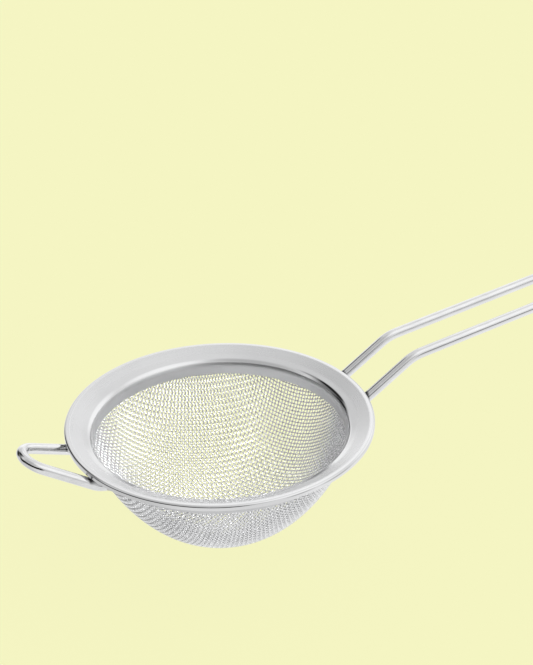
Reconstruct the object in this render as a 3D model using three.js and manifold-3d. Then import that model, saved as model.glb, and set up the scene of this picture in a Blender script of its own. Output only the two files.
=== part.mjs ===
// Tea strainer: a woven wire bowl crimped into a pressed ring rim, with a hairpin wire
// handle and a wire rest loop welded to the clamp collar under the rim.
//
// Units are millimetres. The origin is the centre of the rim, in the plane of its top
// edge. +X runs out along the handle and +Z is up, out of the mouth of the bowl.

import * as THREE from 'three';
import { mergeVertices } from 'three/addons/utils/BufferGeometryUtils.js';
import Module from 'manifold-3d';

const wasm = await Module();
wasm.setup();

// ---------------------------------------------------------------- driving dimensions

const FIT_GAP = 0.1; // between pieces nested around the same axis
const CUT_GAP = 0.3; // between a wire end or weld bead and the collar wall it is cut to
const AROUND = 72; // facets around every turned piece

// Pressed rim, one sheet from the outer lip to the bottom of the neck
const SHEET = 0.5;
const RIM_RADIUS = 40;
const LIP_BOTTOM_Z = -1.3;
const LIP_ROUND = 0.6; // radius of the turned-down outer edge
const LAND_WIDTH = 0.8; // flat top land inside the rounded edge
const NECK_INNER_RADIUS = 32.9;
const NECK_BEND = 2.4; // radius of the turn from the sloping flange down to the neck
const NECK_TOP_Z = -4.1; // where that turn ends and the straight neck starts
const NECK_BOTTOM_Z = -6.3;

// Wire cloth bowl, modelled as a plain shell of the cloth's thickness
const CLOTH = 0.45;
const CLOTH_TOP_Z = -4; // upper edge, held between neck and collar
const CLOTH_HEM_DROP = 0.4; // straight part that shows below the neck
const BOWL_RADIUS = 33.5; // of the outer surface where the cloth leaves the rim
const BOWL_DEPTH = 28.1; // from the bottom of the neck to the bottom of the bowl
const BOWL_DEPTH_POWER = 1.22;
const BOWL_RADIUS_POWER = 2.3;
const BOWL_RINGS = 14;
const BOWL_RING_CROWDING = 1.3; // above 1 draws the rings together under the rim

// Clamp collar
const COLLAR_WALL = 0.5;
const COLLAR_TOP_Z = -3.3;
const COLLAR_BOTTOM_Z = -6;

// Handle: one wire, two parallel legs joined by a half circle at the far end
const HANDLE_WIRE_RADIUS = 1.4;
const HANDLE_SPACING = 12.9; // between the centre lines of the legs
const HANDLE_END_Z = -4.5; // centre line at the collar wall
const HANDLE_FOOT = [37.6, -4.3]; // corner under the lip: x, z
const HANDLE_SHOULDER = [54.7, 6.55]; // corner where the steep part ends: x, z
const HANDLE_TIP_X = 182;
const HANDLE_SLOPE = THREE.MathUtils.degToRad(7.5); // of the long part
const FOOT_BEND = 6;
const SHOULDER_BEND = 12;

// Rest loop: one wire, a tongue opposite the handle that rises outwards
const LOOP_WIRE_RADIUS = 1.35;
const LOOP_END_Z = -4.7;
const LOOP_FOOT = [36.8, -4.535]; // corner under the lip: distance from the axis, z
const LOOP_RISE = THREE.MathUtils.degToRad(27.7);
const LOOP_FOOT_HALF_WIDTH = 9;
const LOOP_TIP_HALF_WIDTH = 4.1; // corner of the tongue before it is rounded
const LOOP_TIP = 52; // distance of the tip's centre line from the axis
const LOOP_NOSE = 5.4; // bend radius of the rounded tip
const LOOP_FOOT_BEND = 6;

// Weld beads
const BEAD_LENGTH = 1.5; // of the flared part
const BEAD_ROOT = 3; // straight part below it, cut away where it meets the wall
const BEAD_STAND_OFF = 0.4; // from the wall to the start of the flare, on the wire's axis
const BEAD_BASE_RADIUS = 2.2;
const BEAD_TOP_RADIUS = 1.85;
const BEAD_BORE_GAP = 0.2;
const BEAD_FACETS = 20;

// --------------------------------------------------------------------------- helpers

function steel(color, roughness) {
  return new THREE.MeshStandardMaterial({ metalness: 1, color, roughness });
}

// Profile points along a round corner, by angle in radians
function arc(centre, radius, from, to, steps) {
  return Array.from({ length: steps + 1 }, (_, i) => {
    const angle = from + ((to - from) * i) / steps;
    return [centre[0] + radius * Math.cos(angle), centre[1] + radius * Math.sin(angle)];
  });
}

// Moves an open profile sideways by a distance, to its left as it is walked
function offsetProfile(points, distance) {
  return points.map((point, i) => {
    const before = points[Math.max(i - 1, 0)];
    const after = points[Math.min(i + 1, points.length - 1)];
    const along = new THREE.Vector2(after[0] - before[0], after[1] - before[1]).normalize();
    return [point[0] - along.y * distance, point[1] + along.x * distance];
  });
}

// A turned piece from a closed profile of [radius, z] points
function turned(points) {
  const profile = points.map(([radius, z]) => new THREE.Vector2(Math.max(radius, 0), z));
  const geometry = new THREE.LatheGeometry(profile, AROUND);
  return geometry.rotateX(Math.PI / 2);
}

function closed(points) {
  return [...points, points[0]];
}

// The same geometry with merged corners and its faces pointing out, whichever way round its
// profile was walked: a negative volume means that they point in.
function facingOut(geometry) {
  const solid = mergedPositions(geometry);
  const { array } = solid.attributes.position;
  const index = solid.index.array;
  const corner = [new THREE.Vector3(), new THREE.Vector3(), new THREE.Vector3()];
  let volume = 0;
  for (let i = 0; i < index.length; i += 3) {
    corner.forEach((point, k) => point.fromArray(array, index[i + k] * 3));
    volume += corner[0].dot(corner[1].cross(corner[2]));
  }
  if (volume < 0) {
    for (let i = 0; i < index.length; i += 3) {
      [index[i], index[i + 1]] = [index[i + 1], index[i]];
    }
  }
  return solid;
}

function mergedPositions(geometry) {
  const bare = geometry.clone();
  bare.deleteAttribute('normal');
  bare.deleteAttribute('uv');
  bare.clearGroups();
  const merged = mergeVertices(bare, 1e-4);
  const index = merged.index.array;
  const kept = [];
  for (let i = 0; i < index.length; i += 3) {
    const [a, b, c] = [index[i], index[i + 1], index[i + 2]];
    if (a !== b && b !== c && c !== a) kept.push(a, b, c);
  }
  merged.setIndex(kept);
  return merged;
}

function toSolid(geometry) {
  const shape = facingOut(geometry);
  return new wasm.Manifold(new wasm.Mesh({
    numProp: 3,
    vertProperties: new Float32Array(shape.attributes.position.array),
    triVerts: new Uint32Array(shape.index.array),
  }));
}

function fromSolid(solid) {
  const mesh = solid.getMesh();
  const geometry = new THREE.BufferGeometry();
  geometry.setAttribute('position', new THREE.BufferAttribute(mesh.vertProperties, 3));
  geometry.setIndex(new THREE.BufferAttribute(mesh.triVerts, 1));
  return geometry;
}

// A path of straight lines whose inner corners are rounded to the given bend radii
function bentPath(corners) {
  const path = new THREE.CurvePath();
  let last = corners[0].at;
  for (let i = 1; i < corners.length - 1; i += 1) {
    const { at, bend } = corners[i];
    const back = corners[i - 1].at.clone().sub(at).normalize();
    const on = corners[i + 1].at.clone().sub(at).normalize();
    const turn = Math.PI - back.angleTo(on);
    const reach = bend * Math.tan(turn / 2);
    const pull = (4 / 3) * Math.tan(turn / 4) * bend;
    const start = at.clone().addScaledVector(back, reach);
    const end = at.clone().addScaledVector(on, reach);
    if (last.distanceTo(start) > 0.01) path.add(new THREE.LineCurve3(last, start));
    path.add(new THREE.CubicBezierCurve3(
      start,
      start.clone().addScaledVector(back, -pull),
      end.clone().addScaledVector(on, -pull),
      end,
    ));
    last = end;
  }
  path.add(new THREE.LineCurve3(last, corners[corners.length - 1].at));
  return path;
}

// Round wire along a path, with twice as many sides as the section has curve segments
function wire(path, radius, steps) {
  const section = new THREE.Shape().absarc(0, 0, radius, 0, 2 * Math.PI);
  return new THREE.ExtrudeGeometry(section, { steps, curveSegments: 5, extrudePath: path });
}

// ---------------------------------------------------------------------- sub-parts

const collarInner = NECK_INNER_RADIUS + SHEET + CLOTH + 2 * FIT_GAP;
const collarOuter = collarInner + COLLAR_WALL;

// Lip, land, cone, bend and neck as one sheet of even thickness
function rimFlange() {
  const edge = [RIM_RADIUS - LIP_ROUND, -LIP_ROUND];
  const landInner = edge[0] - LAND_WIDTH;
  const bend = [NECK_INNER_RADIUS + NECK_BEND, NECK_TOP_Z];
  const across = landInner - bend[0];
  const slopeStart = Math.atan2(-bend[1], across) + Math.acos(NECK_BEND / Math.hypot(across, bend[1]));
  const slope = slopeStart - Math.PI / 2;
  const quarter = Math.PI / 2;
  const top = [
    [RIM_RADIUS, LIP_BOTTOM_Z],
    ...arc(edge, LIP_ROUND, 0, quarter, 4),
    [landInner, 0],
    ...arc(bend, NECK_BEND, slopeStart, Math.PI, 5),
    [NECK_INNER_RADIUS, NECK_BOTTOM_Z],
  ];
  const under = [
    [NECK_INNER_RADIUS + SHEET, NECK_BOTTOM_Z],
    ...arc(bend, NECK_BEND - SHEET, Math.PI, slopeStart, 3),
    [landInner + SHEET * Math.tan(slope / 2), -SHEET],
    ...arc(edge, LIP_ROUND - SHEET, quarter, 0, 1),
    [RIM_RADIUS - SHEET, LIP_BOTTOM_Z],
  ];
  return turned(closed([...top, ...under]));
}

function clampCollar() {
  return turned(closed([
    [collarInner, COLLAR_TOP_Z],
    [collarOuter, COLLAR_TOP_Z],
    [collarOuter, COLLAR_BOTTOM_Z],
    [collarInner, COLLAR_BOTTOM_Z],
  ]));
}

// Radius of the bowl's outer surface at a share of its depth, 0 at the neck and 1 at the
// bottom: steep under the rim, nearly flat at the bottom
function bowlRadius(share) {
  return BOWL_RADIUS * (1 - share ** BOWL_DEPTH_POWER) ** (1 / BOWL_RADIUS_POWER);
}

function meshBowl() {
  const hemRadius = NECK_INNER_RADIUS + SHEET + FIT_GAP + CLOTH;
  const outside = [[hemRadius, CLOTH_TOP_Z], [hemRadius, NECK_BOTTOM_Z - CLOTH_HEM_DROP]];
  for (let ring = 1; ring < BOWL_RINGS; ring += 1) {
    const share = Math.sin((ring / BOWL_RINGS) * (Math.PI / 2)) ** BOWL_RING_CROWDING;
    outside.push([bowlRadius(share), NECK_BOTTOM_Z - BOWL_DEPTH * share]);
  }
  outside.push([0, NECK_BOTTOM_Z - BOWL_DEPTH]);
  const inside = offsetProfile(outside, -CLOTH);
  inside[0] = [hemRadius - CLOTH, CLOTH_TOP_Z];
  inside[inside.length - 1] = [0, NECK_BOTTOM_Z - BOWL_DEPTH + CLOTH];
  return turned([...outside.reverse(), ...inside]);
}

// Corners of one side of a wire, then the same corners mirrored in Y in the other order
function mirroredPath(side) {
  const mirrored = side.map(({ at, bend }) => ({ at: new THREE.Vector3(at.x, -at.y, at.z), bend }));
  return bentPath([...side, ...mirrored.reverse()]);
}

const wallRadius = collarOuter + CUT_GAP;
const startRadius = collarOuter - 1; // wires start inside the wall and are cut back to it

function handlePath() {
  const y = HANDLE_SPACING / 2;
  const tipZ = HANDLE_SHOULDER[1] + (HANDLE_TIP_X - HANDLE_SHOULDER[0]) * Math.tan(HANDLE_SLOPE);
  return mirroredPath([
    { at: new THREE.Vector3(startRadius, y, HANDLE_END_Z) },
    { at: new THREE.Vector3(HANDLE_FOOT[0], y, HANDLE_FOOT[1]), bend: FOOT_BEND },
    { at: new THREE.Vector3(HANDLE_SHOULDER[0], y, HANDLE_SHOULDER[1]), bend: SHOULDER_BEND },
    { at: new THREE.Vector3(HANDLE_TIP_X, y, tipZ), bend: y },
  ]);
}

function loopPath() {
  const [footX, footZ] = LOOP_FOOT;
  const tipZ = footZ + (LOOP_TIP - footX) * Math.tan(LOOP_RISE);
  const flare = (LOOP_FOOT_HALF_WIDTH - LOOP_TIP_HALF_WIDTH) / (LOOP_TIP - footX);
  const startWidth = LOOP_FOOT_HALF_WIDTH + flare * (footX - startRadius);
  return mirroredPath([
    { at: new THREE.Vector3(-startRadius, startWidth, LOOP_END_Z) },
    { at: new THREE.Vector3(-footX, LOOP_FOOT_HALF_WIDTH, footZ), bend: LOOP_FOOT_BEND },
    { at: new THREE.Vector3(-LOOP_TIP, LOOP_TIP_HALF_WIDTH, tipZ), bend: LOOP_NOSE },
  ]);
}

// Takes away what reaches past the collar's outer wall, and the cut gap in front of it
function cutToWall(geometry) {
  const inside = new THREE.CylinderGeometry(wallRadius, wallRadius, RIM_RADIUS, 2 * AROUND);
  return fromSolid(toSolid(geometry).subtract(toSolid(inside.rotateX(Math.PI / 2))));
}

// A flared ring around one end of a wire, cut to the collar wall
function weldBead(path, share, wireRadius) {
  const bore = wireRadius + BEAD_BORE_GAP;
  const ring = new THREE.LatheGeometry(
    closed([
      [bore, -BEAD_ROOT],
      [BEAD_BASE_RADIUS, -BEAD_ROOT],
      [BEAD_BASE_RADIUS, 0],
      [BEAD_TOP_RADIUS, BEAD_LENGTH],
      [bore, BEAD_LENGTH],
    ]).map(([radius, height]) => new THREE.Vector2(radius, height)),
    BEAD_FACETS,
  );
  const outwards = path.getTangentAt(share).multiplyScalar(share === 0 ? 1 : -1);
  const seat = path.getPointAt(share);
  seat.addScaledVector(outwards, wallDistance(seat, outwards) + BEAD_STAND_OFF);
  ring.applyQuaternion(new THREE.Quaternion().setFromUnitVectors(THREE.Object3D.DEFAULT_UP, outwards));
  ring.translate(seat.x, seat.y, seat.z);
  return cutToWall(ring);
}

// Distance from a point inside the collar to its outer wall along a direction
function wallDistance(from, direction) {
  const a = direction.x ** 2 + direction.y ** 2;
  const b = from.x * direction.x + from.y * direction.y;
  const c = from.x ** 2 + from.y ** 2 - wallRadius ** 2;
  return (-b + Math.sqrt(b * b - a * c)) / a;
}

// --------------------------------------------------------------------------- assembly

const strainer = new THREE.Group();

function add(name, geometry, look) {
  const mesh = new THREE.Mesh(facingOut(geometry), look);
  mesh.name = name;
  strainer.add(mesh);
}

const handle = handlePath();
const loop = loopPath();

add('rim_flange', rimFlange(), steel(0xcfcfd0, 0.28));
add('clamp_collar', clampCollar(), steel(0xbfbfc1, 0.35));
add('mesh_bowl', meshBowl(), steel(0xc4c4c6, 0.45));
add('handle_wire', cutToWall(wire(handle, HANDLE_WIRE_RADIUS, 96)), steel(0xd6d6d7, 0.16));
add('rest_loop_wire', cutToWall(wire(loop, LOOP_WIRE_RADIUS, 48)), steel(0xd6d6d7, 0.16));
add('handle_weld_left', weldBead(handle, 0, HANDLE_WIRE_RADIUS), steel(0xa8a6a3, 0.5));
add('handle_weld_right', weldBead(handle, 1, HANDLE_WIRE_RADIUS), steel(0xa8a6a3, 0.5));
add('rest_loop_weld_left', weldBead(loop, 1, LOOP_WIRE_RADIUS), steel(0xa8a6a3, 0.5));
add('rest_loop_weld_right', weldBead(loop, 0, LOOP_WIRE_RADIUS), steel(0xa8a6a3, 0.5));

export default strainer;
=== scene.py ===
import math

import bpy
import numpy as np
from mathutils import Matrix, Vector


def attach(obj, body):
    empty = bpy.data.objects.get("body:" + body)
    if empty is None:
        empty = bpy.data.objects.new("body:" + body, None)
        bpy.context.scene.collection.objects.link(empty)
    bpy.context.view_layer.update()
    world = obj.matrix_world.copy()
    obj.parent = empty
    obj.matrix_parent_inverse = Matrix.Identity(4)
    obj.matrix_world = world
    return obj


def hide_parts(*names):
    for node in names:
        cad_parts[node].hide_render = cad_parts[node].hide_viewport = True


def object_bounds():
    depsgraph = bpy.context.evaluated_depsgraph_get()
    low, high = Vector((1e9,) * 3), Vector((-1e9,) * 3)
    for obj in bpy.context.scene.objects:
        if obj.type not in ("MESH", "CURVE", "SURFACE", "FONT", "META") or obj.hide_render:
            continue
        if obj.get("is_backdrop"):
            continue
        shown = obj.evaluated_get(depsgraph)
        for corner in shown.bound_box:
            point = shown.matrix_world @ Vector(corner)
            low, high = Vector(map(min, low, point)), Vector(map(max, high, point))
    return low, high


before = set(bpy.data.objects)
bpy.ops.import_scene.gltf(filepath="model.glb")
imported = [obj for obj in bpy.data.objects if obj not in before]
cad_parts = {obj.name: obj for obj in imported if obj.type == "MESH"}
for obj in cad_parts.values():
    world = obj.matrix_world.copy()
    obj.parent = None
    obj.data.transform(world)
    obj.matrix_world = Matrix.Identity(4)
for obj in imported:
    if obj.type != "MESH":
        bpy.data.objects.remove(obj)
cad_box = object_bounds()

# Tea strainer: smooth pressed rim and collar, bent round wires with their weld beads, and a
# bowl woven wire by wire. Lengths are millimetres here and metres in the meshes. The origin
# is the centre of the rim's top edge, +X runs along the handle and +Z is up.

MM = 0.001
TINY = 1e-9  # keeps divisions by a distance away from zero
BODY = "root"

# ------------------------------------------------------------------ dimensions, as in the CAD

SHEET = 0.5
RIM_RADIUS = 40
LIP_BOTTOM_Z = -1.3
LIP_ROUND = 0.6
LAND_WIDTH = 0.8
NECK_INNER_RADIUS = 32.9
NECK_BEND = 2.4
NECK_TOP_Z = -4.1
NECK_BOTTOM_Z = -6.3
COLLAR_INNER = 34.05
COLLAR_WALL = 0.5
COLLAR_RADIUS = COLLAR_INNER + COLLAR_WALL  # outer wall, where the wires are welded on
COLLAR_TOP_Z = -3.3
COLLAR_BOTTOM_Z = -6
CLOTH = 0.45
CLOTH_TOP_Z = -4
BOWL_RADIUS = 33.5
BOWL_DEPTH = 28.1
BOWL_DEPTH_POWER = 1.22
BOWL_RADIUS_POWER = 2.3
HEM_RADIUS = 33.725  # middle of the cloth between neck and collar

HANDLE_WIRE_RADIUS = 1.4
HANDLE_HALF_SPACING = 6.45
HANDLE_END_Z = -4.5
HANDLE_FOOT = (37.6, -4.3)
HANDLE_SHOULDER = (54.7, 6.55)
HANDLE_TIP_X = 182
HANDLE_SLOPE = math.radians(7.5)
FOOT_BEND = 6
SHOULDER_BEND = 12
LOOP_WIRE_RADIUS = 1.35
LOOP_END_Z = -4.7
LOOP_FOOT = (36.8, -4.535)
LOOP_RISE = math.radians(27.7)
LOOP_FOOT_HALF_WIDTH = 9
LOOP_TIP_HALF_WIDTH = 4.1
LOOP_TIP = 52
LOOP_NOSE = 5.4
LOOP_FOOT_BEND = 6
LOOP_END_RUN = 3  # rough run from the foot bend to the collar, along which the loop still widens

# ---------------------------------------------------------------------- fineness and details

AROUND = 288  # facets around the rim and the collar
NORMAL_LENGTH = 3  # the longer sides of a profile lead its normals, up to this length
EDGE_ROUND = 0.09  # softened sheet edges
LAND_ROUND = 0.8  # top face, where the land turns into the cone
LAND_UNDER_ROUND = 0.5  # the same on the underside
LIP_INSIDE_ROUND = 0.1
COLLAR_EDGE_ROUND = 0.15  # outer edges of the collar
WIRE_SIDES = 28
WIRE_STEP = 0.6  # along the bends
WIRE_BEND_STEPS = 6  # the fewest steps in a bend
WIRE_STRAIGHT_STEP = 3
WIRE_SHORTEST = 0.01  # straight parts below this length are left out
WELD_SIDES = 48
WELD_ROWS = 14
WELD_SINK = 0.03  # how deep a bead's foot sits in the collar's wall
WELD_FOOT = 2.3  # radius of a bead where it lies on the wall
WELD_LAP = 1.75  # how far a bead climbs along its wire
WELD_END = 0.02  # how far a bead's end stands above the wire
WELD_HOLLOW = 1.7  # shape of the fillet: 1 would be a plain cone
WELD_SEED = 7
CLOTH_PITCH = 1.0
CLOTH_WIRE_RADIUS = 0.175
CLOTH_WAVE = 0.15  # how far each wire rises and falls at the crossings
CLOTH_TURN = math.radians(28)  # direction of the cloth's first set of wires, from +X
CLOTH_SIDES = 6
CLOTH_STEPS = 4  # rings per crossing
CLOTH_SHORTEST = 3  # wires with fewer crossings are left out
CLOTH_CELLS = 52  # crossings counted from the middle wire to past the hem
CLOTH_HALF = CLOTH_CELLS - 1  # number of the outermost wire, where the middle one is 0
BOWL_POINTS = 900
BOWL_SAMPLED = 0.98  # part of the bowl's depth that is sampled; the rest joins it to the hem
HEM_POINTS = 60
HEM_SPARE = 3  # how far the hem's line goes on above the cloth's cut edge
NET_ROUNDS = 8  # of Newton's method, for each crossing
NET_NUDGE = 1e-4
NET_LEAST = 1e-6  # keeps its division away from zero
NET_STEP = 0.3  # the longest move in one round
NET_SPARE = 2.5  # pitches past the cut edge that the net still covers

# ------------------------------------------------------------------------------ mesh helpers


def add_mesh(name, points, faces, material, replaced, normals=None):
    """A smooth-shaded piece that rides on the body and stands for the CAD nodes it replaces."""
    mesh = bpy.data.meshes.new(name)
    mesh.from_pydata(np.asarray(points) * MM, [], faces)
    mesh.polygons.foreach_set("use_smooth", np.ones(len(mesh.polygons), bool))
    mesh.materials.append(material)
    if normals is not None:
        mesh.normals_split_custom_set_from_vertices(normals)
    piece = bpy.data.objects.new(name, mesh)
    bpy.context.scene.collection.objects.link(piece)
    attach(piece, BODY)
    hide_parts(*replaced)
    return piece


def grid_faces(rows, columns, close_rows):
    """Quads of a grid whose columns wrap round, and whose rows wrap too if close_rows is set."""
    row, column = np.mgrid[0:rows if close_rows else rows - 1, 0:columns]
    below, beside = (row + 1) % rows, (column + 1) % columns
    corners = [row * columns + column, row * columns + beside,
               below * columns + beside, below * columns + column]
    return np.stack([c.ravel() for c in corners], axis=1)


def tube_faces(rings, sides):
    """The outside of a tube whose rings turn clockwise as seen from its start, and its two caps."""
    first = list(range(sides))
    caps = [first, [(rings - 1) * sides + k for k in first[::-1]]]
    return grid_faces(rings, sides, False)[:, ::-1].tolist() + caps


def corner_arc(before, corner, after, radius, steps):
    """Points round one corner of a profile, tangent to both of its sides."""
    corner = np.array(corner, float)
    back = np.array(before, float) - corner
    on = np.array(after, float) - corner
    back /= np.linalg.norm(back)
    on /= np.linalg.norm(on)
    half = math.acos(np.clip(back @ on, -1, 1)) / 2
    centre = corner + (back + on) / np.linalg.norm(back + on) * radius / math.sin(half)
    first = corner + back * radius / math.tan(half) - centre
    last = corner + on * radius / math.tan(half) - centre
    sweep = math.atan2(first[0] * last[1] - first[1] * last[0], first @ last)
    turn = np.linspace(0, sweep, steps + 1)
    x = centre[0] + first[0] * np.cos(turn) - first[1] * np.sin(turn)
    z = centre[1] + first[0] * np.sin(turn) + first[1] * np.cos(turn)
    return list(zip(x, z))


def rounded_profile(corners):
    """A closed profile of (radius, z, rounding, steps) corners, as points."""
    count = len(corners)
    points = []
    for i, (x, z, radius, steps) in enumerate(corners):
        before, after = corners[i - 1], corners[(i + 1) % count]
        points += corner_arc(before[:2], (x, z), after[:2], radius, steps)
    return np.array(points)


def turned(name, profile, material, replaced):
    """A ring from a closed profile, with normals that keep its flat parts flat."""
    side = np.roll(profile, -1, axis=0) - profile
    length = np.linalg.norm(side, axis=1)
    outward = np.stack([side[:, 1], -side[:, 0]], axis=1)
    outward = outward / length[:, None] * np.minimum(length, NORMAL_LENGTH)[:, None] ** 2
    normal = outward + np.roll(outward, 1, axis=0)
    normal /= np.linalg.norm(normal, axis=1)[:, None]
    angle = np.linspace(0, 2 * math.pi, AROUND, endpoint=False)
    around = np.stack([np.cos(angle), np.sin(angle)], axis=1)

    def spin(values):
        flat = values[:, None, :1] * around[None]
        height = np.repeat(values[:, None, 1:], AROUND, axis=1)
        return np.concatenate([flat, height], axis=2).reshape(-1, 3)

    faces = grid_faces(len(profile), AROUND, True)
    return add_mesh(name, spin(profile), faces, material, replaced, spin(normal))


# --------------------------------------------------------------------------------- materials


class Nodes:
    """Short calls for adding and linking the nodes of one material or world."""

    def __init__(self, tree):
        self.tree = tree
        self.tree.nodes.clear()

    def add(self, kind, inputs=None, **settings):
        node = self.tree.nodes.new(kind)
        for key, value in settings.items():
            setattr(node, key, value)
        for key, value in (inputs or {}).items():
            if isinstance(value, bpy.types.NodeSocket):
                self.tree.links.new(value, node.inputs[key])
            else:
                node.inputs[key].default_value = value
        return node

    def noise(self, vector, scale, detail, roughness):
        inputs = {"Vector": vector, "Scale": scale, "Detail": detail, "Roughness": roughness}
        return self.add("ShaderNodeTexNoise", inputs).outputs["Fac"]

    def remap(self, value, low, high, to_low, to_high, smooth=False):
        inputs = {"Value": value, "From Min": low, "From Max": high, "To Min": to_low, "To Max": to_high}
        kind = "SMOOTHSTEP" if smooth else "LINEAR"
        return self.add("ShaderNodeMapRange", inputs, interpolation_type=kind).outputs["Result"]

    def math(self, operation, first, second):
        return self.add("ShaderNodeMath", {0: first, 1: second}, operation=operation).outputs[0]

    def stretched(self, vector, scale):
        return self.add("ShaderNodeMapping", {"Vector": vector, "Scale": scale}).outputs["Vector"]

    def ramp(self, factor, stops):
        node = self.add("ShaderNodeValToRGB", {"Fac": factor})
        elements = node.color_ramp.elements
        while len(elements) < len(stops):
            elements.new(0.5)
        for element, (position, color) in zip(elements, stops):
            element.position = position
            element.color = (*color, 1)
        return node.outputs["Color"]

    def bump(self, height, strength, distance, normal=None):
        inputs = {"Height": height, "Strength": strength, "Distance": distance}
        if normal is not None:
            inputs["Normal"] = normal
        return self.add("ShaderNodeBump", inputs).outputs["Normal"]


def new_material(name):
    """A new material, and short calls for its nodes."""
    material = bpy.data.materials.new(name)
    material.use_nodes = True
    return material, Nodes(material.node_tree)


def finish_metal(nodes, color, roughness, normal):
    """A metal surface from its colour, roughness and normal links."""
    inputs = {"Base Color": color, "Roughness": roughness, "Normal": normal, "Metallic": 1.0}
    shader = nodes.add("ShaderNodeBsdfPrincipled", inputs)
    nodes.add("ShaderNodeOutputMaterial", {"Surface": shader.outputs["BSDF"]})


def turned_coordinates(nodes):
    """The object's own coordinates, and distance from the axis and height in millimetres."""
    place = nodes.add("ShaderNodeTexCoord").outputs["Object"]
    axes = nodes.add("ShaderNodeSeparateXYZ", {"Vector": place}).outputs
    flat = nodes.add("ShaderNodeCombineXYZ", {"X": axes["X"], "Y": axes["Y"]}).outputs[0]
    length = nodes.add("ShaderNodeVectorMath", {0: flat}, operation="LENGTH").outputs["Value"]
    radius = nodes.math("MULTIPLY", length, 1 / MM)
    height = nodes.math("MULTIPLY", axes["Z"], 1 / MM)
    return place, radius, height


# Noise scales are per metre, but per millimetre where the coordinates come from radius and
# height. Each fade runs between two radii, heights or distances, in millimetres.
NECK_FADE = (33.1, 33.6)
CONE_FADE = (34.8, 36.0)
LIP_FADE = (38.7, 39.2)
# The next fades and colour paint shade onto the wires: a shadow round the lip's lower edge, shade under
# the flange and shade at the handle's feet.
LIP_SHADOW_RADIUS = 39.8  # the lip's lower edge, as the wires pass it
LIP_SHADOW_FADE = (0.4, 0.8)
SHADE_RADIUS_FADE = (39.8, 40.3)
SHADE_HEIGHT_FADE = (-3.3, -2.6)
FOOT_SHADE_FADE = (40.7, 41.4)
PAINTED_SHADE_COLOR = (0.05, 0.05, 0.052, 1)


def rim_steel():
    """Satin pressed sheet: fine polishing rings, soft stains, a dull neck, a bright bend and lip."""
    material, nodes = new_material("rim_steel")
    place, radius, height = turned_coordinates(nodes)
    lane = nodes.add("ShaderNodeCombineXYZ", {"X": radius, "Y": height}).outputs[0]
    rings = nodes.noise(lane, 5.0, 4, 0.6)
    broad = nodes.noise(place, 55.0, 3, 0.55)
    grain = nodes.noise(place, 5200.0, 2, 0.5)
    tone = nodes.remap(rings, 0.25, 0.75, -0.03, 0.03)
    tone = nodes.math("ADD", tone, nodes.remap(broad, 0.3, 0.7, 0.44, 0.56))
    color = nodes.ramp(tone, [(0.3, (0.61, 0.613, 0.62)), (0.7, (0.75, 0.751, 0.753))])
    wear = nodes.remap(grain, 0.2, 0.8, -0.02, 0.02)
    wear = nodes.math("ADD", wear, nodes.remap(broad, 0.3, 0.7, 0.24, 0.33))
    neck = nodes.remap(radius, *NECK_FADE, 1, 0, smooth=True)
    wear = nodes.math("ADD", wear, nodes.math("MULTIPLY", neck, 0.15))
    rough = nodes.math("ADD", wear, nodes.remap(rings, 0.3, 0.7, -0.02, 0.03))
    cone = nodes.remap(radius, *CONE_FADE, 0, 1, smooth=True)
    bend = nodes.math("SUBTRACT", 1.0, nodes.math("ADD", neck, cone))
    lip = nodes.remap(radius, *LIP_FADE, 0, 1, smooth=True)
    polished = nodes.math("ADD", bend, lip)
    rough = nodes.add("ShaderNodeMix", {0: polished, 2: rough, 3: 0.07}).outputs[0]
    normal = nodes.bump(rings, 0.05, 0.0001)
    normal = nodes.bump(grain, 0.012, 0.0001, normal)
    finish_metal(nodes, color, rough, normal)
    return material


def collar_steel():
    """Plain rolled sheet, a little duller than the rim, with lines along the strip."""
    material, nodes = new_material("collar_steel")
    place, _, height = turned_coordinates(nodes)
    lane = nodes.add("ShaderNodeCombineXYZ", {"Z": height}).outputs[0]
    lines = nodes.noise(lane, 6.0, 3, 0.6)
    spots = nodes.noise(place, 140.0, 4, 0.6)
    tone = nodes.math("MULTIPLY", nodes.math("ADD", lines, spots), 0.5)
    color = nodes.ramp(tone, [(0.35, (0.50, 0.505, 0.515)), (0.65, (0.66, 0.662, 0.665))])
    rough = nodes.remap(spots, 0.3, 0.7, 0.30, 0.44)
    finish_metal(nodes, color, rough, nodes.bump(lines, 0.12, 0.0001))
    return material


def painted_shade(nodes):
    """Painted shade, 0 to 1, on a wire: below the lip, in the lip's shade and at the handle's two feet.
    """
    place, radius, height = turned_coordinates(nodes)
    # Painted shadow in the gap where a wire passes the lip's lower edge
    out = nodes.math("SUBTRACT", radius, LIP_SHADOW_RADIUS)
    up = nodes.math("SUBTRACT", height, LIP_BOTTOM_Z)
    gap = nodes.add("ShaderNodeCombineXYZ", {"X": out, "Y": up}).outputs[0]
    apart = nodes.add("ShaderNodeVectorMath", {0: gap}, operation="LENGTH").outputs["Value"]
    lip_shadow = nodes.remap(apart, *LIP_SHADOW_FADE, 1, 0, smooth=True)
    # Painted shade on the part of a wire that lies under the flange
    within = nodes.remap(radius, *SHADE_RADIUS_FADE, 1, 0)
    above = nodes.remap(height, *SHADE_HEIGHT_FADE, 0, 1)
    shaded = nodes.math("MULTIPLY", within, above)
    # Painted shade at the feet of the handle, on its side of the rim only
    along = nodes.add("ShaderNodeSeparateXYZ", {"Vector": place}).outputs["X"]
    handle_side = nodes.remap(along, 0, MM, 0, 1)
    near = nodes.remap(radius, *FOOT_SHADE_FADE, 1, 0, smooth=True)
    foot = nodes.math("MULTIPLY", near, handle_side)
    return nodes.math("MAXIMUM", nodes.math("MAXIMUM", lip_shadow, foot), shaded)


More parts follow.
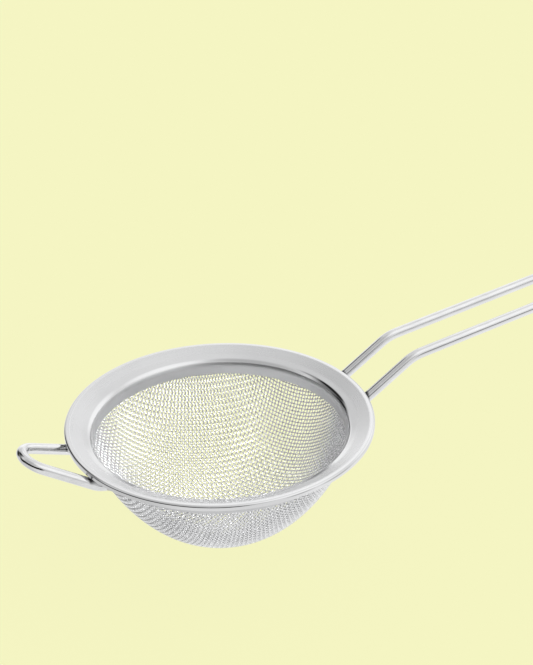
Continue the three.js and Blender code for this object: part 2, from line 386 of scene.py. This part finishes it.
def wire_steel():
    """Bright drawn wire: faint die lines in its colour, an uneven shine and painted shade below the lip
    and at the handle's feet.
    """
    material, nodes = new_material("wire_steel")
    place = nodes.add("ShaderNodeTexCoord").outputs["Object"]
    drawn = nodes.noise(nodes.stretched(place, (60.0, 2600.0, 2600.0)), 1.0, 3, 0.6)
    broad = nodes.noise(place, 90.0, 3, 0.55)
    color = nodes.ramp(nodes.math("MULTIPLY", nodes.math("ADD", drawn, broad), 0.5),
                       [(0.35, (0.64, 0.642, 0.648)), (0.65, (0.76, 0.762, 0.765))])
    rough = nodes.remap(broad, 0.3, 0.7, 0.10, 0.16)
    # The wire's colour turns near black where the painted shade lies
    inputs = {0: painted_shade(nodes), 6: color, 7: PAINTED_SHADE_COLOR}
    mix = nodes.add("ShaderNodeMix", inputs, data_type="RGBA")
    finish_metal(nodes, mix.outputs[2], rough, nodes.bump(broad, 0.05, 0.0003))
    return material


def cloth_steel():
    """Fine bright wire of the cloth, greyer in the places that tea has reached."""
    material, nodes = new_material("wire_cloth")
    place = nodes.add("ShaderNodeTexCoord").outputs["Object"]
    broad = nodes.noise(place, 80.0, 3, 0.5)
    fine = nodes.noise(place, 2400.0, 2, 0.5)
    tone = nodes.math("MULTIPLY", nodes.math("ADD", broad, fine), 0.5)
    color = nodes.ramp(tone, [(0.35, (0.72, 0.722, 0.727)), (0.65, (0.86, 0.862, 0.867))])
    rough = nodes.remap(fine, 0.3, 0.7, 0.20, 0.28)
    finish_metal(nodes, color, rough, nodes.bump(fine, 0.08, 0.00005))
    return material


def weld_steel():
    """Cleaned weld bead: dull and grainy, with a trace of straw tint left by the heat."""
    material, nodes = new_material("weld_steel")
    place = nodes.add("ShaderNodeTexCoord").outputs["Object"]
    ripple = nodes.noise(place, 1300.0, 4, 0.6)
    heat = nodes.noise(place, 420.0, 2, 0.5)
    color = nodes.ramp(heat, [(0.3, (0.40, 0.37, 0.33)),
                              (0.55, (0.52, 0.50, 0.47)),
                              (0.8, (0.60, 0.60, 0.61))])
    rough = nodes.remap(ripple, 0.3, 0.7, 0.38, 0.58)
    finish_metal(nodes, color, rough, nodes.bump(ripple, 0.35, 0.0002))
    return material


# ------------------------------------------------------------------------- pressed sheet rings


def rim_flange(material):
    """Outer lip, land, cone, bend and neck as one sheet of even thickness."""
    land_inner = RIM_RADIUS - LIP_ROUND - LAND_WIDTH
    bend = (NECK_INNER_RADIUS + NECK_BEND, NECK_TOP_Z)
    across = land_inner - bend[0]
    start = math.atan2(-bend[1], across) + math.acos(NECK_BEND / math.hypot(across, bend[1]))
    slope = start - math.pi / 2
    land_under = land_inner + SHEET * math.tan(slope / 2)
    # Corners of the profile are given where the straight parts would meet without their bends
    meet = NECK_BEND * math.tan((math.pi - start) / 2)
    inner_top = (NECK_INNER_RADIUS, NECK_TOP_Z + meet)
    under_bend = (NECK_BEND - SHEET) * math.tan((math.pi - start) / 2)
    inner_under = (NECK_INNER_RADIUS + SHEET, NECK_TOP_Z + under_bend)
    return turned("rim", rounded_profile([
        (RIM_RADIUS, LIP_BOTTOM_Z, EDGE_ROUND, 3),
        (RIM_RADIUS, 0, LIP_ROUND, 8),
        (land_inner, 0, LAND_ROUND, 4),
        (*inner_top, NECK_BEND, 10),
        (NECK_INNER_RADIUS, NECK_BOTTOM_Z, EDGE_ROUND, 3),
        (NECK_INNER_RADIUS + SHEET, NECK_BOTTOM_Z, EDGE_ROUND, 3),
        (*inner_under, NECK_BEND - SHEET, 8),
        (land_under, -SHEET, LAND_UNDER_ROUND, 4),
        (RIM_RADIUS - SHEET, -SHEET, LIP_INSIDE_ROUND, 3),
        (RIM_RADIUS - SHEET, LIP_BOTTOM_Z, EDGE_ROUND, 3),
    ]), material, ["rim_flange"])


def clamp_collar(material):
    """The plain ring that holds the cloth against the neck."""
    return turned("collar", rounded_profile([
        (COLLAR_RADIUS, COLLAR_BOTTOM_Z, COLLAR_EDGE_ROUND, 4),
        (COLLAR_RADIUS, COLLAR_TOP_Z, COLLAR_EDGE_ROUND, 4),
        (COLLAR_INNER, COLLAR_TOP_Z, EDGE_ROUND, 3),
        (COLLAR_INNER, COLLAR_BOTTOM_Z, EDGE_ROUND, 3),
    ]), material, ["clamp_collar"])


# -------------------------------------------------------------------------- bent round wires


def line(start, end):
    """Points from start up to, but not including, end."""
    count = max(1, math.ceil((end - start).length / WIRE_STRAIGHT_STEP))
    return [start.lerp(end, i / count) for i in range(count)]


def bezier(a, b, c, d, count):
    """Points of a curve from a up to, but not including, d."""
    points = []
    for i in range(count):
        t = i / count
        s = 1 - t
        points.append(a * s**3 + b * 3 * s * s * t + c * 3 * s * t * t + d * t**3)
    return points


def bent_path(corners):
    """Points along straight lines whose inner corners are rounded to their bend radii."""
    points = []
    last = corners[0][0]
    for i in range(1, len(corners) - 1):
        at, bend = corners[i]
        back = (corners[i - 1][0] - at).normalized()
        on = (corners[i + 1][0] - at).normalized()
        turn = math.pi - back.angle(on)
        reach = bend * math.tan(turn / 2)
        pull = 4 / 3 * math.tan(turn / 4) * bend
        start = at + back * reach
        end = at + on * reach
        if (start - last).length > WIRE_SHORTEST:
            points += line(last, start)
        count = max(WIRE_BEND_STEPS, math.ceil(bend * turn / WIRE_STEP))
        points += bezier(start, start - back * pull, end - on * pull, end, count)
        last = end
    return points + line(last, corners[-1][0]) + [corners[-1][0]]


def mirrored(side):
    """The corners of one side, and then those of the other side from its tip back."""
    other = [(Vector((at.x, -at.y, at.z)), bend) for at, bend in side]
    return side + other[::-1]


def handle_corners():
    """Corners and bend radii of the handle's wire, from one weld to the other."""
    y = HANDLE_HALF_SPACING
    tip_z = HANDLE_SHOULDER[1] + (HANDLE_TIP_X - HANDLE_SHOULDER[0]) * math.tan(HANDLE_SLOPE)
    start_x = math.sqrt(COLLAR_RADIUS**2 - y**2)
    return mirrored([
        (Vector((start_x, y, HANDLE_END_Z)), 0),
        (Vector((HANDLE_FOOT[0], y, HANDLE_FOOT[1])), FOOT_BEND),
        (Vector((HANDLE_SHOULDER[0], y, HANDLE_SHOULDER[1])), SHOULDER_BEND),
        (Vector((HANDLE_TIP_X, y, tip_z)), y),
    ])


def loop_corners():
    """Corners and bend radii of the rest loop's wire, from one weld to the other."""
    foot_x, foot_z = LOOP_FOOT
    tip_z = foot_z + (LOOP_TIP - foot_x) * math.tan(LOOP_RISE)
    flare = (LOOP_FOOT_HALF_WIDTH - LOOP_TIP_HALF_WIDTH) / (LOOP_TIP - foot_x)
    width = LOOP_FOOT_HALF_WIDTH + flare * LOOP_END_RUN
    start_x = math.sqrt(COLLAR_RADIUS**2 - width**2)
    return mirrored([
        (Vector((-start_x, width, LOOP_END_Z)), 0),
        (Vector((-foot_x, LOOP_FOOT_HALF_WIDTH, foot_z)), LOOP_FOOT_BEND),
        (Vector((-LOOP_TIP, LOOP_TIP_HALF_WIDTH, tip_z)), LOOP_NOSE),
    ])


def bent_wire(name, corners, radius, material, replaced):
    """A round wire along a bent path that never stands upright, with a cap at both ends."""
    path = np.array(bent_path(corners), float)
    along = np.gradient(path, axis=0)
    along /= np.linalg.norm(along, axis=1)[:, None]
    across = np.cross(along, (0, 0, 1))
    across /= np.linalg.norm(across, axis=1)[:, None]
    over = np.cross(across, along)
    angle = np.linspace(0, 2 * math.pi, WIRE_SIDES, endpoint=False)
    ring = across[:, None] * np.cos(angle)[:, None] + over[:, None] * np.sin(angle)[:, None]
    verts = (path[:, None] + ring * radius).reshape(-1, 3)
    faces = tube_faces(len(path), WIRE_SIDES)
    return add_mesh(name, verts, faces, material, replaced)


def weld_bead(node, seat, outwards, wire_radius, material, seed):
    """A fused fillet between a wire and the collar wall, its foot lying on the wall."""
    rng = np.random.default_rng(seed)
    wall = COLLAR_RADIUS - WELD_SINK
    phase = rng.uniform(0, 2 * math.pi, 4)
    outwards = outwards.normalized()
    across = outwards.cross(Vector((0, 0, 1))).normalized()
    over = across.cross(outwards)
    verts = []
    for row in range(WELD_ROWS):
        share = row / (WELD_ROWS - 1)
        for side in range(WELD_SIDES):
            angle = 2 * math.pi * side / WELD_SIDES
            uneven = sum(math.sin((k + 2) * angle + phase[k]) / (k + 2) for k in range(4))
            foot = WELD_FOOT + 0.12 * uneven
            lap = WELD_LAP + 0.15 * math.sin(2 * angle + phase[0])
            ripple = 0.025 * math.sin(share * 22 + 2 * math.sin(angle + phase[1]))
            radius = wire_radius + WELD_END + (foot - wire_radius) * (1 - share) ** WELD_HOLLOW
            radius += ripple * share * (1 - share) * 4
            point = seat + (across * math.cos(angle) + over * math.sin(angle)) * radius
            # How far along the wire's direction this point meets the collar's wall
            a = outwards.x**2 + outwards.y**2
            b = point.x * outwards.x + point.y * outwards.y
            c = point.x**2 + point.y**2 - wall**2
            reach = (-b + math.sqrt(max(b * b - a * c, 0))) / a
            verts.append(tuple(point + outwards * (reach * (1 - share) ** 2 + lap * share)))
    faces = tube_faces(WELD_ROWS, WELD_SIDES)
    return add_mesh(f"{node}_bead", verts, faces, material, [node])


def wires_and_welds(wire_material, weld_material):
    """The handle, the rest loop, and a bead at each of their ends."""
    handle = handle_corners()
    loop = loop_corners()
    bent_wire("handle", handle, HANDLE_WIRE_RADIUS, wire_material, ["handle_wire"])
    bent_wire("rest_loop", loop, LOOP_WIRE_RADIUS, wire_material, ["rest_loop_wire"])
    for label, corners, radius, sides in (
        ("handle_weld", handle, HANDLE_WIRE_RADIUS, ("left", "right")),
        ("rest_loop_weld", loop, LOOP_WIRE_RADIUS, ("right", "left")),
    ):
        path = [at for at, _ in corners]
        for i, side in enumerate(sides):
            seat, towards = path[:2]
            weld_bead(f"{label}_{side}", seat, towards - seat, radius, weld_material, WELD_SEED + i)
            path.reverse()


# -------------------------------------------------------------------------------- woven bowl


def bowl_profile():
    """Arc length, radius and height of the cloth's middle, from the bottom up into the crimp."""
    width = np.linspace(0, BOWL_SAMPLED ** (1 / BOWL_RADIUS_POWER), BOWL_POINTS)
    share = 1 - width**BOWL_RADIUS_POWER
    radius = (BOWL_RADIUS - CLOTH / 2) * (1 - share**BOWL_DEPTH_POWER) ** (1 / BOWL_RADIUS_POWER)
    height = NECK_BOTTOM_Z - (BOWL_DEPTH - CLOTH / 2) * share
    hem_z = np.linspace(NECK_BOTTOM_Z, CLOTH_TOP_Z + HEM_SPARE, HEM_POINTS)
    radius = np.concatenate([radius, np.full(HEM_POINTS, HEM_RADIUS)])
    height = np.concatenate([height, hem_z])
    reach = np.concatenate([[0], np.cumsum(np.hypot(np.diff(radius), np.diff(height)))])
    return reach, radius, height


REACH, RADIUS, HEIGHT = bowl_profile()
CLOTH_EDGE = float(np.interp(CLOTH_TOP_Z, HEIGHT, REACH))


def on_bowl(flat):
    """Points of the bowl's middle surface from flat coordinates that keep distance to the bottom."""
    reach = np.maximum(np.linalg.norm(flat, axis=-1), TINY)
    scale = np.interp(reach, REACH, RADIUS) / reach
    return np.concatenate([flat * scale[..., None], np.interp(reach, REACH, HEIGHT)[..., None]], axis=-1)


def net_nodes():
    """Flat coordinates of the crossings of one quarter, where every cell side is one pitch long."""
    count = CLOTH_CELLS
    nodes = np.full((count, count, 2), np.nan)
    steps = CLOTH_PITCH * np.arange(count)
    nodes[:, 0] = np.stack([steps, 0 * steps], axis=1)
    nodes[0, :] = np.stack([0 * steps, steps], axis=1)
    for total in range(2, 2 * count - 1):
        i = np.arange(max(1, total - count + 1), min(total, count))
        j = total - i
        one, other = nodes[i - 1, j], nodes[i, j - 1]
        guess = one + other - nodes[i - 1, j - 1]
        good = np.isfinite(guess).all(axis=1)
        i, j, guess = i[good], j[good], guess[good]
        if not len(i):
            continue
        ends = on_bowl(one[good]), on_bowl(other[good])

        def misses(flat):
            place = on_bowl(flat)
            return np.stack([np.linalg.norm(place - end, axis=1) - CLOTH_PITCH for end in ends], axis=1)

        # Newton's method on both distances at once, with short steps
        for _ in range(NET_ROUNDS):
            miss = misses(guess)
            by_x = (misses(guess + (NET_NUDGE, 0)) - miss) / NET_NUDGE
            by_y = (misses(guess + (0, NET_NUDGE)) - miss) / NET_NUDGE
            bottom = by_x[:, 0] * by_y[:, 1] - by_y[:, 0] * by_x[:, 1]
            bottom = np.where(np.abs(bottom) < NET_LEAST, NET_LEAST, bottom)
            step_x = (miss[:, 0] * by_y[:, 1] - miss[:, 1] * by_y[:, 0]) / bottom
            step_y = (miss[:, 1] * by_x[:, 0] - miss[:, 0] * by_x[:, 1]) / bottom
            guess = guess - np.clip(np.stack([step_x, step_y], axis=1), -NET_STEP, NET_STEP)
        inside = np.linalg.norm(guess, axis=1) < CLOTH_EDGE + NET_SPARE * CLOTH_PITCH
        nodes[i[inside], j[inside]] = guess[inside]
    return nodes


def whole_net(quarter):
    """The same crossings for all four quarters, indexed from the middle of the bowl."""
    number = np.arange(-CLOTH_HALF, CLOTH_HALF + 1)
    index = np.abs(number)
    sign = np.sign(number)
    nodes = quarter[index[:, None], index[None, :]].copy()
    nodes[..., 0] = np.abs(nodes[..., 0]) * sign[:, None]
    nodes[..., 1] = np.abs(nodes[..., 1]) * sign[None, :]
    return nodes


def smooth_run(points, steps):
    """A smooth line through points, with a number of steps between each pair."""
    padded = np.concatenate([2 * points[:1] - points[1:2], points, 2 * points[-1:] - points[-2:-1]])
    a, b, c, d = (padded[k:len(padded) - 3 + k][:, None] for k in range(4))
    t = (np.arange(steps) / steps)[None, :, None]
    run = b + 0.5 * t * (c - a + t * (2 * a - 5 * b + 4 * c - d + t * (3 * (b - c) + d - a)))
    return np.concatenate([run.reshape(-1, 2), points[-1:]])


def cloth_wire(nodes, first, line_number, lift):
    """Centre line and surface normals of one wire that rises and falls over the crossing ones."""
    flat = smooth_run(nodes, CLOTH_STEPS)
    crossing = first + np.arange(len(flat)) / CLOTH_STEPS
    keep = np.linalg.norm(flat, axis=1) <= CLOTH_EDGE
    if keep.sum() < CLOTH_SHORTEST * CLOTH_STEPS:
        return None
    flat, crossing = flat[keep], crossing[keep]
    reach = np.maximum(np.linalg.norm(flat, axis=1), TINY)
    rise = np.interp(reach, REACH, np.gradient(HEIGHT, REACH))
    spread = np.interp(reach, REACH, np.gradient(RADIUS, REACH))
    out = np.concatenate([flat / reach[:, None] * rise[:, None], -spread[:, None]], axis=1)
    out /= np.linalg.norm(out, axis=1)[:, None]
    wave = lift * CLOTH_WAVE * np.cos(math.pi * crossing) * (-1) ** line_number
    return on_bowl(flat) + out * wave[:, None], out


def cloth_tube(path, out):
    """Rings of points round one wire of the cloth."""
    along = np.gradient(path, axis=0)
    along /= np.linalg.norm(along, axis=1)[:, None]
    across = np.cross(along, out)
    across /= np.linalg.norm(across, axis=1)[:, None]
    over = np.cross(across, along)
    angle = np.linspace(0, 2 * math.pi, CLOTH_SIDES, endpoint=False) + math.pi / CLOTH_SIDES
    ring = across[:, None] * np.cos(angle)[:, None] + over[:, None] * np.sin(angle)[:, None]
    return (path[:, None] + ring * CLOTH_WIRE_RADIUS).reshape(-1, 3)


def cloth_set(name, nodes, lift, lines, material):
    """One piece made of the parallel wires with the given line numbers."""
    verts, faces, used = [], [], 0
    turn = np.array(Matrix.Rotation(CLOTH_TURN, 3, "Z"))
    for number in lines:
        column = nodes[:, number + CLOTH_HALF]
        good = np.flatnonzero(np.isfinite(column).all(axis=1))
        if len(good) < CLOTH_SHORTEST:
            continue
        made = cloth_wire(column[good], good[0] - CLOTH_HALF, number, lift)
        if made is None:
            continue
        ring_points = cloth_tube(*made) @ turn.T
        rings = len(ring_points) // CLOTH_SIDES
        faces += [[used + k for k in face] for face in tube_faces(rings, CLOTH_SIDES)]
        verts.append(ring_points)
        used += len(ring_points)
    return add_mesh(name, np.concatenate(verts), faces, material, ["mesh_bowl"])


def woven_bowl(material):
    """Two sets of wires that cross at right angles at the bottom, each in two pieces."""
    nodes = whole_net(net_nodes())
    pieces = []
    for label, grid, lift in (("warp", nodes, 1), ("weft", nodes.transpose(1, 0, 2), -1)):
        for part, lines in (("a", range(-CLOTH_HALF, 0)), ("b", range(0, CLOTH_HALF + 1))):
            pieces.append(cloth_set(f"cloth_{label}_{part}", grid, lift, lines, material))
    return pieces


# ------------------------------------------------------------------ floor, light and camera

FLOOR_COLOR = (0.9131, 0.9131, 0.5457, 1)
FLOOR_HALF_SIZE = 4  # metres
FLOOR_GLOW = 1.012  # brings the floor level with the backdrop
FLOOR_MATT = 0.06  # share of the floor's colour that takes light and shadow
CAMERA_TARGET = (31.32, 35.51, 0)
CAMERA_DISTANCE = 350.9
CAMERA_AZIMUTH = math.radians(-26.25)  # 0 looks along +Y
CAMERA_ELEVATION = math.radians(27.65)
CAMERA_ROLL = math.radians(-0.91)
CAMERA_LENS = 64.96  # millimetres
CAMERA_NEAR = 0.01  # metres
CAMERA_FAR = 50  # metres
KEY_PLACE = (550, -550, 950)
KEY_SIZE = 0.6  # metres
KEY_POWER = 10  # watts

# Studio round the object: direction (azimuth, elevation), inner and outer angle of each soft
# shape and how much light it adds, all angles in degrees. Azimuth 0 is +X and 90 is +Y.
STUDIO_LEVEL = 0.98
STUDIO_LEAST = 0.02
STUDIO_SHAPES = [
    (126, 22, 8, 28, -0.75),
    (122, 47, 3, 14, -0.5),
    (113, 35, 4, 15, -0.5),
    (104, 57, 6, 24, -0.12),
    (86, 27, 6, 22, -0.14),
    (115, 1, 7, 22, -0.75),
    (-160, 55, 8, 42, -0.35),
    (-95, 26, 6, 22, -0.3),
    (-62, 3, 4, 14, -0.65),
    (-45, 54, 10, 36, 0.3),
    (20, 20, 6, 28, 0.35),
    (59, 4, 5, 15, 0.2),
    (63, 33, 5, 16, 0.3),
    (78, 8, 4, 14, 0.15),
    (-30, -4, 6, 18, -0.55),
    (72, -2, 5, 18, 0.15),
    (-113, 16, 8, 22, -0.95),
    (-135, 16, 8, 22, -0.95),
    (-157, 16, 8, 22, -0.95),
    (-179, 16, 8, 22, -0.9),
    (160, 10, 8, 20, -0.95),
    (160, -30, 15, 50, -0.2),
    (-20, -50, 15, 40, 0.15),
]


def floor():
    """A large pale sheet under the part, which the camera sees and the part doesn't mirror."""
    low = min(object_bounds()[0].z, cad_box[0].z)
    outline = [(-1, -1), (1, -1), (1, 1), (-1, 1)]
    corners = [(x * FLOOR_HALF_SIZE, y * FLOOR_HALF_SIZE, low) for x, y in outline]
    mesh = bpy.data.meshes.new("floor")
    mesh.from_pydata(corners, [], [(0, 1, 2, 3)])
    material, nodes = new_material("floor")
    glow = nodes.add("ShaderNodeEmission", {"Color": FLOOR_COLOR, "Strength": FLOOR_GLOW})
    paper = nodes.add("ShaderNodeBsdfDiffuse", {"Color": FLOOR_COLOR})
    inputs = {"Fac": FLOOR_MATT, 1: glow.outputs[0], 2: paper.outputs[0]}
    both = nodes.add("ShaderNodeMixShader", inputs)
    nodes.add("ShaderNodeOutputMaterial", {"Surface": both.outputs[0]})
    mesh.materials.append(material)
    plane = bpy.data.objects.new("floor", mesh)
    bpy.context.scene.collection.objects.link(plane)
    plane.visible_glossy = False
    plane.visible_diffuse = False
    plane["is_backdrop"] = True


def studio():
    """Plain backdrop for the camera, and soft light shapes for everything else."""
    world = bpy.data.worlds.new("studio")
    bpy.context.scene.world = world
    world.use_nodes = True
    nodes = Nodes(world.node_tree)
    towards = nodes.add("ShaderNodeTexCoord").outputs["Generated"]
    level = STUDIO_LEVEL
    for azimuth, elevation, inner, outer, strength in STUDIO_SHAPES:
        a, e = math.radians(azimuth), math.radians(elevation)
        centre = (math.cos(a) * math.cos(e), math.sin(a) * math.cos(e), math.sin(e))
        near = nodes.add("ShaderNodeVectorMath", {0: towards, 1: centre}, operation="DOT_PRODUCT")
        shape = nodes.remap(near.outputs["Value"], math.cos(math.radians(outer)),
                            math.cos(math.radians(inner)), 0, strength, smooth=True)
        level = nodes.math("ADD", shape, level)
    level = nodes.math("MAXIMUM", level, STUDIO_LEAST)
    light = nodes.add("ShaderNodeBackground", {"Color": (1, 1, 1, 1), "Strength": level})
    backdrop = nodes.add("ShaderNodeBackground", {"Color": FLOOR_COLOR})
    seen = nodes.add("ShaderNodeLightPath").outputs["Is Camera Ray"]
    inputs = {"Fac": seen, 1: light.outputs[0], 2: backdrop.outputs[0]}
    both = nodes.add("ShaderNodeMixShader", inputs)
    nodes.add("ShaderNodeOutputWorld", {"Surface": both.outputs[0]})


def key_light(lit):
    """A large soft lamp that points at the middle of the rim and lights only the given pieces."""
    data = bpy.data.lights.new("key", "AREA")
    data.shape = "DISK"
    data.size = KEY_SIZE
    data.energy = KEY_POWER
    lamp = bpy.data.objects.new("key", data)
    lamp.location = Vector(KEY_PLACE) * MM
    lamp.rotation_euler = (-Vector(KEY_PLACE)).to_track_quat("-Z", "Y").to_euler()
    bpy.context.scene.collection.objects.link(lamp)
    group = bpy.data.collections.new("key")
    for piece in lit:
        group.objects.link(piece)
    lamp.light_linking.receiver_collection = group


def camera():
    """The photograph's camera, found from the outlines of the rim, the handle and the loop."""
    a, e = CAMERA_AZIMUTH, CAMERA_ELEVATION
    back = Vector((math.sin(a) * math.cos(e), -math.cos(a) * math.cos(e), math.sin(e)))
    data = bpy.data.cameras.new("camera")
    data.lens = CAMERA_LENS
    data.clip_start = CAMERA_NEAR
    data.clip_end = CAMERA_FAR
    eye = bpy.data.objects.new("camera", data)
    eye.location = (Vector(CAMERA_TARGET) + back * CAMERA_DISTANCE) * MM
    facing = back.to_track_quat("Z", "Y").to_matrix()
    eye.rotation_euler = (facing @ Matrix.Rotation(CAMERA_ROLL, 3, "Z")).to_euler()
    bpy.context.scene.collection.objects.link(eye)
    bpy.context.scene.camera = eye


camera()
rim_flange(rim_steel())
clamp_collar(collar_steel())
wires_and_welds(wire_steel(), weld_steel())
cloth = woven_bowl(cloth_steel())
floor()
studio()
key_light(cloth)
bpy.context.scene.view_settings.view_transform = "Standard"
bpy.context.scene.cycles.use_denoising = True
